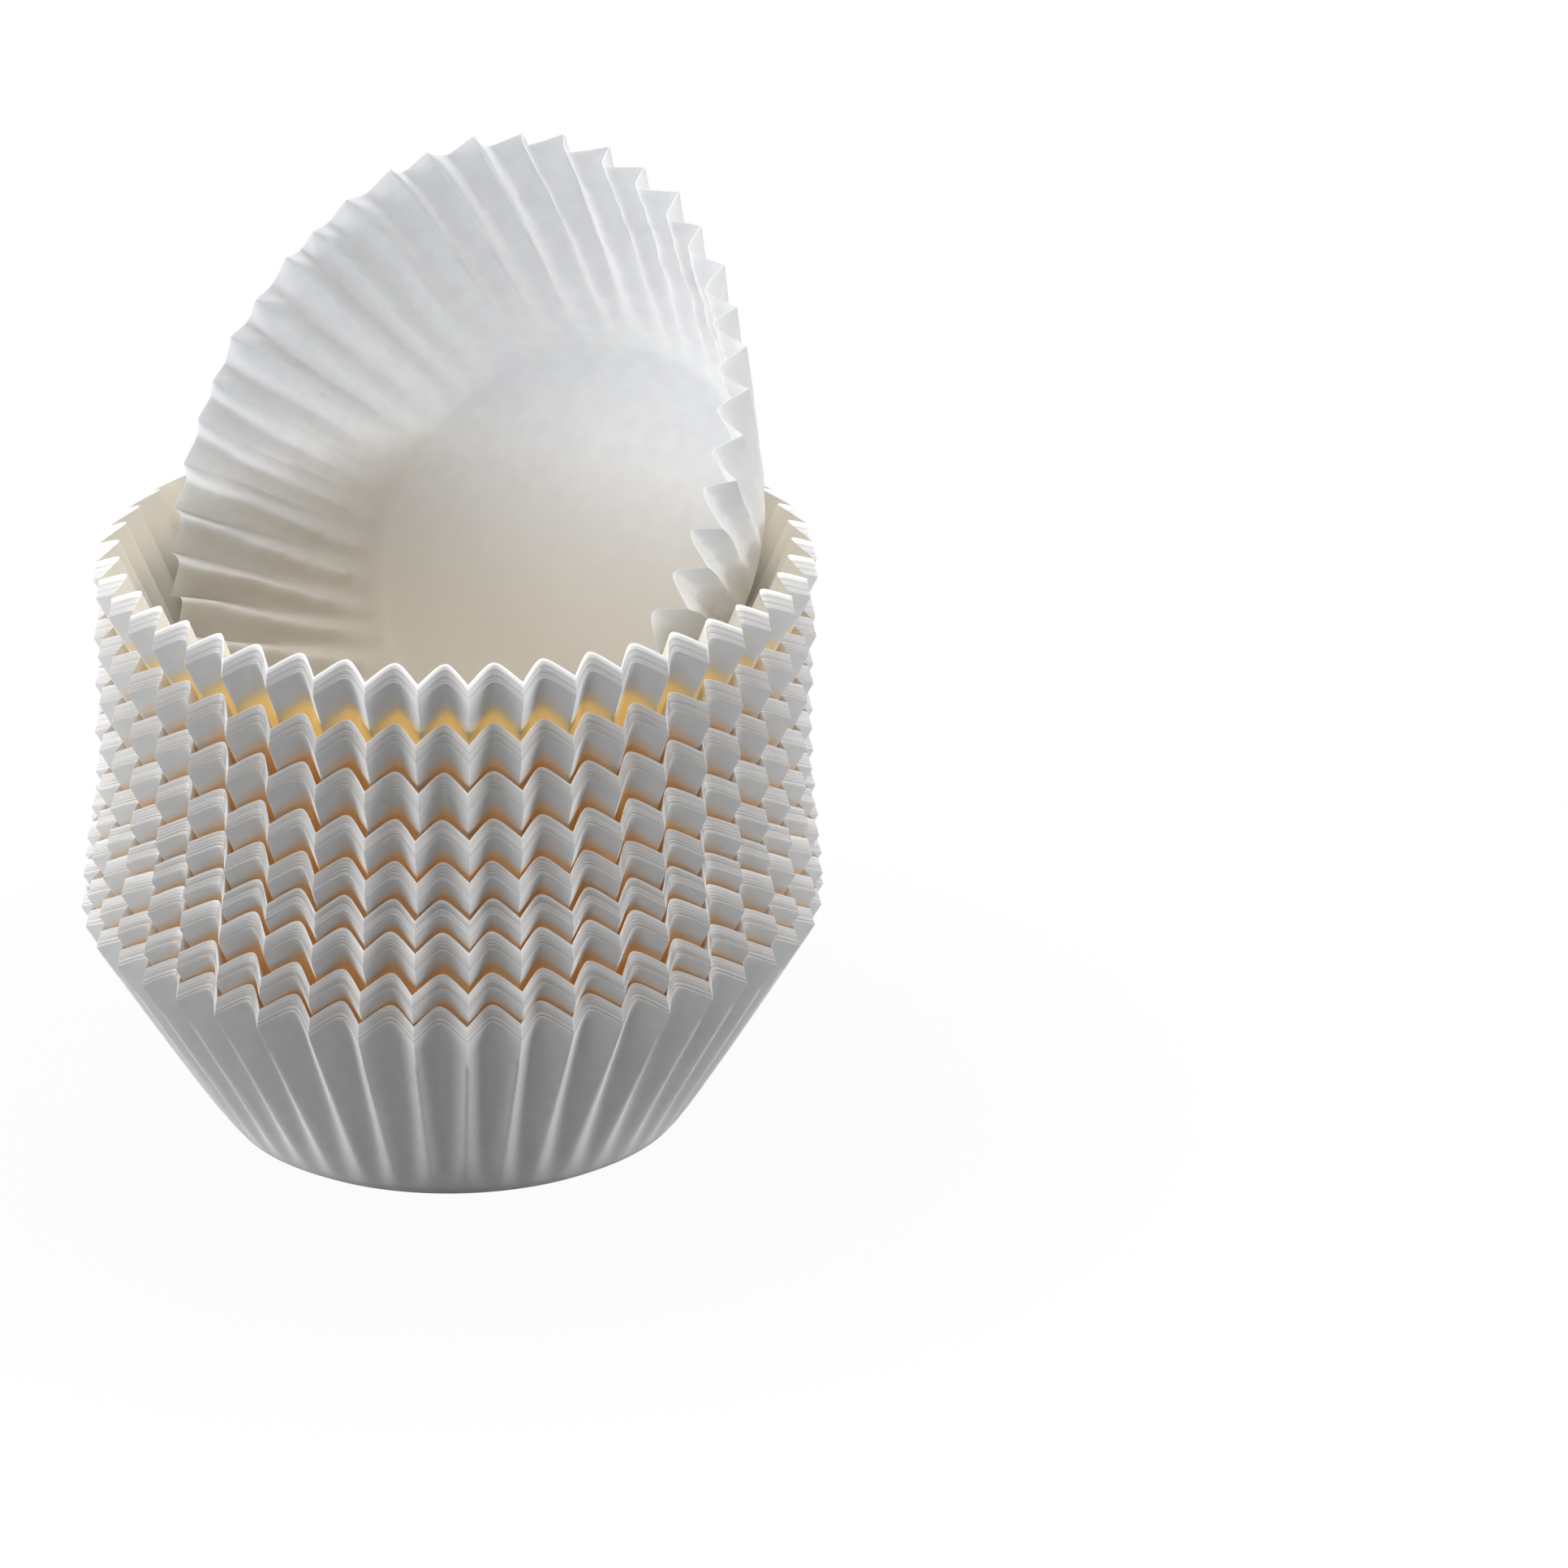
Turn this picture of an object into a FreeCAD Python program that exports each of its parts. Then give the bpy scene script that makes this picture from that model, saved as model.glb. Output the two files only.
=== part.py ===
"""Stack of fluted paper cupcake liners: nine pressed bundles nested in one another, and one loose liner.

Millimetres and degrees, +Z up. The origin is the middle of the lowest bundle's flat underside.
"""
import FreeCAD, Part
import math
import os

# One liner, pressed from a flat paper disc
DISC_RADIUS = 52.1
BASE_RADIUS = 21.5
BEND_RADIUS = 2.2
BEND_ANGLE = 60.0
PLEATS = 44
PLEAT_DEPTH = 2.5
PLEAT_DROP = 1.6

# Nine bundles, each of about twelve liners pressed into one another, lowest first
BUNDLE_THICKNESS = 1.8
BUNDLE_FLARE = 0.5
FIRST_FOLD = 1.2
LOWEST_MOUTH = 36.2
MOUTH_CLOSINGS = (0.1, 0.5, 0.5, 0.3, 0.1, 0.1, -0.1, 0.0)
LIFTS = (3.5, 4.1, 3.2, 3.9, 4.5, 5.0, 5.2, 6.4)
SIDE_STEP = 0.12
NEST_CLEARANCE = 0.3

# The loose liner, which leans in the mouth of the top bundle
SHEET_THICKNESS = 0.2
LOOSE_MOUTH = 33.2
LOOSE_OVAL = 2.2
LOOSE_DROP = 2.1
LOOSE_FIRST_FOLD = 1.8
LOOSE_TILT = 53.9
LOOSE_SETBACK = 20.9
LOOSE_HEADING = -126.5


class Edge:
    """Where a pleated wall ends: radius and height of its inner folds, and how its outer folds differ."""

    def __init__(self, radius, height, drop, first_fold, oval=0.0):
        self.radius = radius
        self.height = height
        self.drop = drop
        self.first_fold = first_fold
        self.oval = oval

    def raised(self, flare, rise):
        """The same edge on a sheet that lies further in by flare and higher by rise."""
        return Edge(self.radius - flare, self.height + rise, self.drop, self.first_fold, self.oval)


def ring(radius, height, angles, oval=0.0):
    """Points of a level ring, its radius grown and shrunk by oval along and across angle zero."""
    points = []
    for angle in angles:
        turn = math.radians(angle)
        reach = radius + oval * math.cos(2 * turn)
        points.append(FreeCAD.Vector(reach * math.cos(turn), reach * math.sin(turn), height))
    return points


def between(first, second):
    """Two rings of equal length merged into one, point by point in turn."""
    return [point for pair in zip(first, second) for point in pair]


def bend_length(radius):
    """Length of paper in the bend from base to wall."""
    return radius * math.radians(BEND_ANGLE)


def foot(bend_radius, base_height, base_radius=BASE_RADIUS):
    """Radius and height where the bend ends and the wall starts."""
    turn = math.radians(BEND_ANGLE)
    return base_radius + bend_radius * math.sin(turn), base_height + bend_radius * (1 - math.cos(turn))


def wall_height(bend_radius, mouth):
    """Height of the wall's inner folds above the bend, for a mouth of the given radius."""
    wall = DISC_RADIUS - BASE_RADIUS - bend_length(bend_radius)
    spread = mouth - foot(bend_radius, 0)[0]
    return math.sqrt(wall ** 2 - spread ** 2)


def cup_rings(bend_radius, base_height, edge, base_radius=BASE_RADIUS):
    """Rings of one side of a pleated cup, from its flat base to its edge.

    The first two have one point a pleat, the last two have an outer and an inner fold in turn.
    """
    step = 360.0 / PLEATS
    outer = [edge.first_fold + step * index for index in range(PLEATS)]
    inner = [angle + step / 2 for angle in outer]
    half = math.radians(BEND_ANGLE / 2)
    foot_radius, foot_height = foot(bend_radius, base_height, base_radius)
    middle_radius = base_radius + bend_radius * math.sin(half)
    middle_height = base_height + bend_radius * (1 - math.cos(half))
    return [
        ring(base_radius, base_height, outer),
        ring(middle_radius, middle_height, outer),
        ring(foot_radius, foot_height, between(outer, inner)),
        between(
            ring(edge.radius + PLEAT_DEPTH, edge.height - edge.drop, outer, edge.oval),
            ring(edge.radius, edge.height, inner, edge.oval),
        ),
    ]


def face(*points):
    """A flat face through the given corners."""
    return Part.Face(Part.makePolygon(list(points) + [points[0]]))


def belt(lower, upper):
    """Triangles that join two rings of equal length."""
    faces = []
    count = len(lower)
    for index in range(count):
        after = (index + 1) % count
        faces.append(face(lower[index], lower[after], upper[after]))
        faces.append(face(lower[index], upper[after], upper[index]))
    return faces


def fan_belt(lower, upper):
    """Triangles that join a ring to one with twice as many points."""
    faces = []
    count = len(lower)
    for index in range(count):
        after = (index + 1) % count
        fold, between_folds, next_fold = upper[2 * index], upper[2 * index + 1], upper[2 * after]
        faces.append(face(lower[index], between_folds, fold))
        faces.append(face(lower[index], lower[after], between_folds))
        faces.append(face(lower[after], next_fold, between_folds))
    return faces


def cup_side(rings):
    """All faces of one side of a cup: flat base, bend and pleated wall."""
    base, middle, bend_end, edge = rings
    return [face(*base)] + belt(base, middle) + fan_belt(middle, bend_end) + belt(bend_end, edge)


def cup_solid(outside, inside):
    """The closed solid between two sides of a cup, with its cut edge."""
    faces = cup_side(outside) + cup_side(inside) + belt(outside[-1], inside[-1])
    solid = Part.Solid(Part.Shell(faces))
    if solid.Volume < 0:
        solid.reverse()
    return solid


def bundle_bend():
    """Bend radius on the outside of a bundle."""
    return BEND_RADIUS + BUNDLE_THICKNESS


def bundle_edge(mouth):
    """Outer edge of a bundle whose innermost liner has the given mouth radius."""
    bend = bundle_bend()
    outer_mouth = mouth + BUNDLE_FLARE
    height = foot(bend, 0)[1] + wall_height(bend, outer_mouth)
    return Edge(outer_mouth, height, PLEAT_DROP, FIRST_FOLD)


def nested_bundle(mouth, lift_above):
    """A bundle that carries another: its sheets spread on the base up to the bundle above."""
    edge = bundle_edge(mouth)
    outside = cup_rings(bundle_bend(), 0, edge)
    inside = cup_rings(
        bundle_bend(),
        lift_above - NEST_CLEARANCE,
        edge.raised(BUNDLE_FLARE, BUNDLE_THICKNESS),
        BASE_RADIUS + NEST_CLEARANCE,
    )
    return cup_solid(outside, inside)


def top_bundle(mouth):
    """The bundle on top, with its floor open to view."""
    edge = bundle_edge(mouth)
    outside = cup_rings(bundle_bend(), 0, edge)
    inside = cup_rings(BEND_RADIUS, BUNDLE_THICKNESS, edge.raised(BUNDLE_FLARE, BUNDLE_THICKNESS))
    return cup_solid(outside, inside)


def loose_liner():
    """One single liner, standing on its base at the origin, before it is laid in the stack."""
    bend = BEND_RADIUS + SHEET_THICKNESS
    height = foot(bend, 0)[1] + wall_height(bend, LOOSE_MOUTH)
    edge = Edge(LOOSE_MOUTH, height, LOOSE_DROP, LOOSE_FIRST_FOLD, LOOSE_OVAL)
    rise = SHEET_THICKNESS / math.cos(math.radians(BEND_ANGLE))
    outside = cup_rings(bend, 0, edge)
    inside = cup_rings(BEND_RADIUS, SHEET_THICKNESS, edge.raised(0, rise))
    return cup_solid(outside, inside)


def lean_in(liner, mouth):
    """Tilt the liner, set it back and lower it until its sides rest on the walls of the top bundle."""
    liner.rotate(FreeCAD.Vector(0, 0, 0), FreeCAD.Vector(0, 1, 0), LOOSE_TILT)
    liner.translate(FreeCAD.Vector(-LOOSE_SETBACK, 0, 0))
    foot_radius, foot_height = foot(BEND_RADIUS, BUNDLE_THICKNESS)
    edge_height = bundle_edge(mouth).height + BUNDLE_THICKNESS
    slope = (edge_height - foot_height) / (mouth - foot_radius)
    heights = []
    for vertex in liner.Vertexes:
        reach = math.hypot(vertex.X, vertex.Y) + NEST_CLEARANCE
        wall = foot_height + slope * (reach - foot_radius)
        heights.append(max(wall, BUNDLE_THICKNESS + NEST_CLEARANCE) - vertex.Z)
    liner.translate(FreeCAD.Vector(0, 0, max(heights)))
    liner.rotate(FreeCAD.Vector(0, 0, 0), FreeCAD.Vector(0, 0, 1), LOOSE_HEADING)
    return liner


def build_stack():
    """All solids of the stack in place, by node name."""
    solids = {}
    mouth = LOWEST_MOUTH
    place = FreeCAD.Vector(0, 0, 0)
    for number, (lift, closing) in enumerate(zip(LIFTS, MOUTH_CLOSINGS), start=1):
        solids[f"liner_bundle_{number}"] = nested_bundle(mouth, lift).translated(place)
        mouth -= closing
        place += FreeCAD.Vector(SIDE_STEP, 0, lift)
    solids[f"liner_bundle_{len(LIFTS) + 1}"] = top_bundle(mouth).translated(place)
    liner = lean_in(loose_liner(), mouth)
    solids["leaning_liner"] = liner.translated(place)
    return solids


os.makedirs("parts", exist_ok=True)
for name, solid in build_stack().items():
    solid.exportStep(f"parts/{name}.step")
    box = solid.BoundBox
    print(name, solid.isValid(), len(solid.Faces), round(solid.Volume), [round(v, 2) for v in (
        box.XMin, box.YMin, box.ZMin, box.XMax, box.YMax, box.ZMax)])
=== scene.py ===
"""Looks of a stack of fluted paper cupcake liners.

Nine bundles of a dozen pressed liners stand nested in one another, and one loose liner leans in the mouth
of the top one. Every bundle is made of its real sheets, each a thin closed shell. Sizes are in millimetres
and degrees until a mesh is made, which is in metres.
"""
import logging
import math
from dataclasses import dataclass, field
from enum import Enum, IntEnum
from typing import Any, Optional

import bpy
import numpy as np
from mathutils import Matrix, Vector


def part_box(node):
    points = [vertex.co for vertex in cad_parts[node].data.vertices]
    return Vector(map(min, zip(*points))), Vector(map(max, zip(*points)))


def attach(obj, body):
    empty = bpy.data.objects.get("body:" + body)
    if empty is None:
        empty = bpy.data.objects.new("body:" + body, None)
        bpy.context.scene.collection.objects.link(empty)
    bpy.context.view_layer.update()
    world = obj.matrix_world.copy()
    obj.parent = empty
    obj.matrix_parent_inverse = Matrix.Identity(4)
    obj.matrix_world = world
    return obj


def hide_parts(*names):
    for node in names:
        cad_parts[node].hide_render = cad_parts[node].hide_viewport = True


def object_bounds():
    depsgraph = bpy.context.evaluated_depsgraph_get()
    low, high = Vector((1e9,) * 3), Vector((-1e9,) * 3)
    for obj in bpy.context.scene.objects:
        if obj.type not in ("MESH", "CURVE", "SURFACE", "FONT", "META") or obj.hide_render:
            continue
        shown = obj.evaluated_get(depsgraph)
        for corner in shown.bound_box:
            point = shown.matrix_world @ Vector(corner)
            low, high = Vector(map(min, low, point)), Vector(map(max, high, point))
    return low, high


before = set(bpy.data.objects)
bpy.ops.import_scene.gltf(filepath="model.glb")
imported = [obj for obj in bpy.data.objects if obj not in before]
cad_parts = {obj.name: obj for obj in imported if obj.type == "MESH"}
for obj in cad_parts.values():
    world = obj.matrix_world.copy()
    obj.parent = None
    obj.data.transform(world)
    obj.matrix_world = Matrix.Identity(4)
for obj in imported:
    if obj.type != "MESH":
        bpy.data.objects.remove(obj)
CAD_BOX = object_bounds()
LOG = logging.getLogger("cupcake_liners")

MM = 0.001
BODY = "root"
BUNDLES = 9

# One liner: a round disc of paper, pressed into a flat base, a bend and a pleated wall
DISC_RADIUS = 52.1
BASE_RADIUS = 21.5
BEND_RADIUS = 2.2
BEND_ANGLE = math.radians(60.0)
PLEATS = 44
PLEAT_STEP = 2 * math.pi / PLEATS
PLEAT_DEPTH = 2.5
PLEAT_FADE = 0.75

# A pleat's section: its inner fold is round, rounder lower down, and the pleat softens into a wave there
FOLD_ROUNDNESS = 0.38
FOLD_SLACK = 0.2
FOLD_SOFTNESS = 0.95
FOLD_SOFTENING = 0.55

PHOTO_WIDTH = 1932
SENSOR_WIDTH = 36.0

# Names of the marks of painted light and shade that the papers read from the meshes
PAINTED_LIGHT_MARKS = "paper"
RIM_GLOW_MARK = "rim"

# Points on creases are numbered in tens by their fold and in units by their rim
FOLD_UNIT = 10


class Slot(Enum):
    """Names of material slots, which no piece in this script is given."""

    BUNDLED = "bundled_paper"
    LOOSE = "loose_paper"


class Mark(IntEnum):
    """Painted light and shade marked at each point of a sheet, from 0 to 1, for the papers to follow: the
    gaps' deep colour and glow, their golden glow in the top bundle, a warm tint, a grey shade, and the glow
    of the cut rim.
    """

    GAP_SHADE_AND_GLOW = 0
    GLOW = 1
    WARM_LIGHT = 2
    PAINTED_SHADE = 3
    RIM_GLOW = 4


class Layer(IntEnum):
    """Which of a piece's papers a face of it takes."""

    OPEN = 0
    PACKED = 1


class Fold(Enum):
    """How finely a sheet is divided: points across half a pleat, as shares from its inner fold."""

    COARSE = (0.0, 0.13, 0.3, 0.58, 1.0)
    FINE = (0.0, 0.1, 0.22, 0.38, 0.58, 0.8, 1.0)
    FINEST = (0.0, 0.08, 0.16, 0.27, 0.4, 0.56, 0.72, 0.88, 1.0)

    def across(self) -> np.ndarray:
        """Places over one whole pleat, from -1 at an outer fold over 0 to just before the next outer fold."""
        half = np.array(self.value)
        return np.concatenate([-half[::-1], half[1:-1]])


def linear(code: str) -> tuple[float, float, float, float]:
    """Turn an sRGB hex colour into the linear colour that a shader takes.

    Args:
        code: The colour as six hex digits after a hash sign.

    Returns:
        Red, green, blue and alpha, from 0 to 1.
    """
    parts = [int(code[place:place + 2], 16) / 255 for place in (1, 3, 5)]
    values = [part / 12.92 if part <= 0.04045 else ((part + 0.055) / 1.055) ** 2.4 for part in parts]
    return values[0], values[1], values[2], 1.0


def add_node(tree: bpy.types.NodeTree, kind: str, settings: Optional[dict[str, Any]] = None,
             inputs: Optional[dict[Any, Any]] = None) -> bpy.types.Node:
    """Add one node with its settings and links.

    Args:
        tree: The node tree that takes the node.
        kind: The node's type name.
        settings: Properties of the node to set.
        inputs: Values or output sockets for the inputs, by name or number.

    Returns:
        The new node.
    """
    node = tree.nodes.new(kind)
    for name, value in (settings or {}).items():
        setattr(node, name, value)
    for socket, value in (inputs or {}).items():
        if isinstance(value, bpy.types.NodeSocket):
            tree.links.new(value, node.inputs[socket])
        else:
            node.inputs[socket].default_value = value
    return node


def smooth(low: float, high: float, value: np.ndarray) -> np.ndarray:
    """A soft step from 0 at low to 1 at high."""
    share = np.clip((value - low) / (high - low), 0, 1)
    return share * share * (3 - 2 * share)


def ripple(rng: np.random.Generator, angles: np.ndarray, waves: tuple[int, ...], size: float) -> np.ndarray:
    """Smooth uneven ups and downs round a ring.

    Args:
        rng: Source of the random draws.
        angles: Angles in radians.
        waves: How many times each part wave goes round the ring.
        size: Typical height of the ups and downs.

    Returns:
        One value for each angle.
    """
    total = np.zeros_like(angles)
    for wave in waves:
        total += rng.uniform(-1, 1) * np.cos(wave * angles + rng.uniform(0, 2 * math.pi))
    return total * size / math.sqrt(len(waves))


def pleat_share(across: np.ndarray, height: np.ndarray) -> np.ndarray:
    """Share of a pleat's depth: 0 at its rounded inner fold, 1 at its sharp outer folds.

    Args:
        across: Place across the pleat, from -1 to 1.
        height: Place up the wall, from 0 at the bend to 1 at the rim, where the folds are crispest.

    Returns:
        The share, between 0 and 1.
    """
    away = np.abs(across)
    roundness = FOLD_ROUNDNESS + FOLD_SLACK * (1 - height)
    crisp = (np.sqrt(away ** 2 + roundness ** 2) - roundness) / (np.sqrt(1 + roundness ** 2) - roundness)
    soft = 0.5 - 0.5 * np.cos(math.pi * away)
    softness = FOLD_SOFTNESS * np.clip(1 - height, 0, 1) ** FOLD_SOFTENING
    return crisp * (1 - softness) + soft * softness


@dataclass(frozen=True)
class Side:
    """One face of a pleated cup, given by its main sizes."""

    bend: float
    floor: float
    base: float
    mouth: float
    rim: float
    drop: float
    oval: float = 0.0
    crease: float = 1.0

    def toward(self, other: "Side", share: float) -> "Side":
        """The face that lies between this one and another.

        Args:
            other: The face to go towards.
            share: How far to go, 0 for this one and 1 for the other.

        Returns:
            The face between them.
        """
        return Side(*(
            getattr(self, name) * (1 - share) + getattr(other, name) * share
            for name in self.__dataclass_fields__
        ))

    def bend_point(self, share: float) -> tuple[float, float]:
        """Radius and height at a share of the way up the bend.

        Args:
            share: 0 at the edge of the base and 1 where the wall starts.

        Returns:
            The radius and height. The bend is round at a crease of 1, and sharper above it.
        """
        corner = self.bend * math.tan(BEND_ANGLE / 2)
        pull = 2 * self.crease * math.cos(BEND_ANGLE / 2) * share * (1 - share)
        end = share * share
        total = (1 - share) ** 2 + pull + end
        out = (corner * pull + self.bend * math.sin(BEND_ANGLE) * end) / total
        up = self.bend * (1 - math.cos(BEND_ANGLE)) * end / total
        return self.base + out, self.floor + up

    def base_rows(self, angles: np.ndarray, shares: tuple[float, ...]) -> list[np.ndarray]:
        """Rings on the flat base, at shares of its radius."""
        return [self.ring(self.base * share, self.floor, angles) for share in shares]

    def bend_rows(self, angles: np.ndarray, steps: int) -> list[np.ndarray]:
        """Rings from the edge of the base up the bend, without the ring where the wall starts."""
        return [self.ring(*self.bend_point(step / steps), angles) for step in range(steps)]

    def ring(self, radius: Any, height: Any, angles: np.ndarray) -> np.ndarray:
        """Points at a radius and height, each a number or one value for every angle."""
        return np.stack([radius * np.cos(angles), radius * np.sin(angles), height + 0 * angles], axis=-1)

    def wall_row(self, angles: np.ndarray, across: np.ndarray, height: Any, depth: Any) -> np.ndarray:
        """One ring of the pleated wall.

        Args:
            angles: Angle of each column in radians.
            across: Place of each column across its pleat.
            height: Place up the wall, 0 at the bend and 1 at the rim, for all columns or for each.
            depth: Depth of the pleats at the rim, for all columns or for each.

        Returns:
            The ring's points.
        """
        foot_radius, foot_height = self.bend_point(1.0)
        level = np.clip(height + 0 * angles, 0, 1)
        share = pleat_share(across, level)
        mouth = self.mouth + self.oval * np.cos(2 * angles)
        out = foot_radius + (mouth - foot_radius) * height + depth * share * level ** PLEAT_FADE
        up = foot_height + (self.rim - foot_height) * height - self.drop * share * level
        return self.ring(out, up, angles)


@dataclass
class SheetMesh:
    """Collects closed thin sheets, each a grid of points round the axis, into one mesh."""

    points: list[np.ndarray] = field(default_factory=list)
    tints: list[np.ndarray] = field(default_factory=list)
    creases: list[np.ndarray] = field(default_factory=list)
    faces: list[list[int]] = field(default_factory=list)
    papers: list[np.ndarray] = field(default_factory=list)
    count: int = 0

    def add(self, rows: np.ndarray, tints: np.ndarray, creases: np.ndarray, papers: np.ndarray) -> None:
        """Add one closed sheet.

        Args:
            rows: Points as rings by columns by three, from the outside of the base over the rim to the
                inside of the base.
            tints: Marks of each point, rings by columns by marks.
            creases: A number for each point, from its fold and its rim, or 0. An edge is sharp where both
                its ends lie on the same fold or on the same rim.
            papers: The layer that the faces above each ring belong to.
        """
        rings, columns = rows.shape[:2]
        index = self.count + np.arange(rings * columns).reshape(rings, columns)
        after = np.roll(index, -1, axis=1)
        quads = np.stack([index[:-1], index[1:], after[1:], after[:-1]], axis=-1).reshape(-1, 4)
        self.faces += quads[:, ::-1].tolist()
        self.faces.append(index[0][::-1].tolist())
        self.faces.append(index[-1].tolist())
        self.points.append(rows.reshape(-1, 3))
        self.tints.append(tints.reshape(-1, len(Mark)))
        self.creases.append(creases.reshape(-1))
        self.papers.append(np.append(np.repeat(papers[:-1], columns), papers[[0, -1]]))
        self.count += rings * columns

    def build(self, name: str, place: Optional[Matrix] = None) -> bpy.types.Object:
        """Make the object.

        Args:
            name: The piece's name.
            place: Where the sheets go, in millimetres.

        Returns:
            The new object, whose place is in its mesh.
        """
        mesh = bpy.data.meshes.new(name)
        points = np.concatenate(self.points)
        if place is not None:
            turn = np.array(place.to_3x3())
            points = points @ turn.T + np.array(place.translation)
        mesh.from_pydata((points * MM).tolist(), [], self.faces)
        edges = np.zeros(len(mesh.edges) * 2, np.int32)
        mesh.edges.foreach_get("vertices", edges)
        ends = np.concatenate(self.creases)[edges.reshape(-1, 2)]
        creased = np.zeros(len(ends), bool)
        for part in (ends // FOLD_UNIT, ends % FOLD_UNIT):
            creased |= (part[:, 0] == part[:, 1]) & (part[:, 0] > 0)
        mesh.attributes.new("sharp_edge", "BOOLEAN", "EDGE").data.foreach_set("value", creased)
        tints = np.concatenate(self.tints)
        marks = mesh.attributes.new(PAINTED_LIGHT_MARKS, "FLOAT_COLOR", "POINT")
        marks.data.foreach_set("color", tints[:, :Mark.RIM_GLOW].ravel())
        mesh.attributes.new(RIM_GLOW_MARK, "FLOAT", "POINT").data.foreach_set("value", tints[:, Mark.RIM_GLOW])
        mesh.polygons.foreach_set("use_smooth", np.ones(len(mesh.polygons), bool))
        mesh.polygons.foreach_set("material_index", np.concatenate(self.papers).astype(np.int32))
        mesh.update()
        piece = bpy.data.objects.new(name, mesh)
        bpy.context.scene.collection.objects.link(piece)
        return piece


@dataclass(frozen=True)
class GreaseproofPaper:
    """Bleached greaseproof paper, pressed while damp: a dull white sheet, softly clouded by its fibres.

    It lets much light through, so that a single sheet looks soft and evenly lit. The warm colour of such
    light is
    painted on: gold or brown colour and glow in the narrow gaps between sheets, a cream tint on inner walls
    and a faint glow at the cut rims. Packed between other sheets it is opaque, greyed by painted shade.
    """

    name: str
    face: str = "#ECECEC"
    cloud: str = "#E7E8E9"
    # Painted light and shade: the warm tint of inner walls, the grey of shaded sheets, the colour deep in the
    # gaps, the brown and the golden glow that the gaps give off, and the strength of the white glow at the
    # cut rims
    warm: str = "#DFD9CC"
    shade: str = "#BDB9B3"
    gap: str = "#EACBA0"
    gap_glow: str = "#D09048"
    gap_glow_strength: float = 0.27
    glow: str = "#F8DC9A"
    glow_strength: float = 0.37
    rim_glow_strength: float = 0.5
    see_through: float = 0.36
    packed: bool = False
    # Uncoated paper is nearly matt, with the usual IOR of cellulose and little of its gloss
    roughness: float = 0.7
    ior: float = 1.5
    gloss: float = 0.15
    # Pulp fibres are 0.03 mm thick and are drawn about ten times coarser, so that they show at all
    fibre_mm: float = 0.35
    fibre_relief_mm: float = 0.05
    fibre_strength: float = 0.12
    # The clouds of pulp are about 2 mm wide, as against the light
    cloud_mm: float = 2.0

    def build(self) -> bpy.types.Material:
        """Make the material.

        Returns:
            The material, whose patterns follow the object's own coordinates.
        """
        material = bpy.data.materials.new(self.name)
        material.use_nodes = True
        tree = material.node_tree
        tree.nodes.clear()
        marks = add_node(tree, "ShaderNodeAttribute", {"attribute_name": PAINTED_LIGHT_MARKS})
        if self.packed:
            body = self.packed_body(tree, marks)
        else:
            body = self.open_body(tree, marks)
        # Painted glow: the cut rim of the inmost sheets gives off a faint white emission, standing in for the
        # light that the sheets carry and let out there
        rim = add_node(tree, "ShaderNodeAttribute", {"attribute_name": RIM_GLOW_MARK})
        strength = add_node(tree, "ShaderNodeMath", {"operation": "MULTIPLY"}, {
            0: rim.outputs["Fac"], 1: self.rim_glow_strength})
        edge = add_node(tree, "ShaderNodeEmission", None, {
            "Color": linear("#FFFFFF"), "Strength": strength.outputs[0]})
        lit = add_node(tree, "ShaderNodeAddShader", None, {0: body, 1: edge.outputs["Emission"]})
        add_node(tree, "ShaderNodeOutputMaterial", None, {"Surface": lit.outputs["Shader"]})
        return material

    def shaded(self, tree: bpy.types.NodeTree, marks: bpy.types.Node, paper: Any) -> bpy.types.NodeSocket:
        """Colour of the paper with painted shade: greyer where the shade mark says that light hardly reaches
        it.

        Args:
            tree: The material's nodes.
            marks: The marks of the mesh.
            paper: Colour of the paper in full light, a value or a socket.

        Returns:
            The colour.
        """
        mixed = add_node(tree, "ShaderNodeMix", {"data_type": "RGBA"}, {
            "Factor": marks.outputs["Alpha"], "A": paper, "B": linear(self.shade)})
        return mixed.outputs["Result"]

    def packed_body(self, tree: bpy.types.NodeTree, marks: bpy.types.Node) -> bpy.types.NodeSocket:
        """Shader of a sheet between others, of which only the cut edge shows.

        Args:
            tree: The material's nodes.
            marks: The marks of the mesh.

        Returns:
            The shader.
        """
        surface = add_node(tree, "ShaderNodeBsdfPrincipled", None, {
            "Base Color": self.shaded(tree, marks, linear(self.face)),
            "Roughness": self.roughness, "IOR": self.ior, "Specular IOR Level": self.gloss})
        return surface.outputs["BSDF"]

    def open_body(self, tree: bpy.types.NodeTree, marks: bpy.types.Node) -> bpy.types.NodeSocket:
        """Shader of a face open to view: clouded, fibrous and see-through, with painted light where it is
        marked: painted shade, a warm tint, and colour and glow in the gaps.

        Args:
            tree: The material's nodes.
            marks: The marks of the mesh.

        Returns:
            The shader.
        """
        parts = add_node(tree, "ShaderNodeSeparateColor", None, {"Color": marks.outputs["Color"]})
        gap, glow, warm = (parts.outputs[name] for name in ("Red", "Green", "Blue"))
        place = add_node(tree, "ShaderNodeTexCoord").outputs["Object"]
        # Clouds of pulp: faint, soft-edged patches that keep the white from looking like plastic
        clouds = add_node(tree, "ShaderNodeTexNoise", None, {
            "Vector": place, "Scale": 1 / (self.cloud_mm * MM), "Detail": 1.0, "Roughness": 0.55})
        spread = add_node(tree, "ShaderNodeMapRange", None, {
            "Value": clouds.outputs["Fac"], "From Min": 0.3, "From Max": 0.7})
        paper = add_node(tree, "ShaderNodeMix", {"data_type": "RGBA"}, {
            "Factor": spread.outputs["Result"], "A": linear(self.face), "B": linear(self.cloud)})
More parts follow.
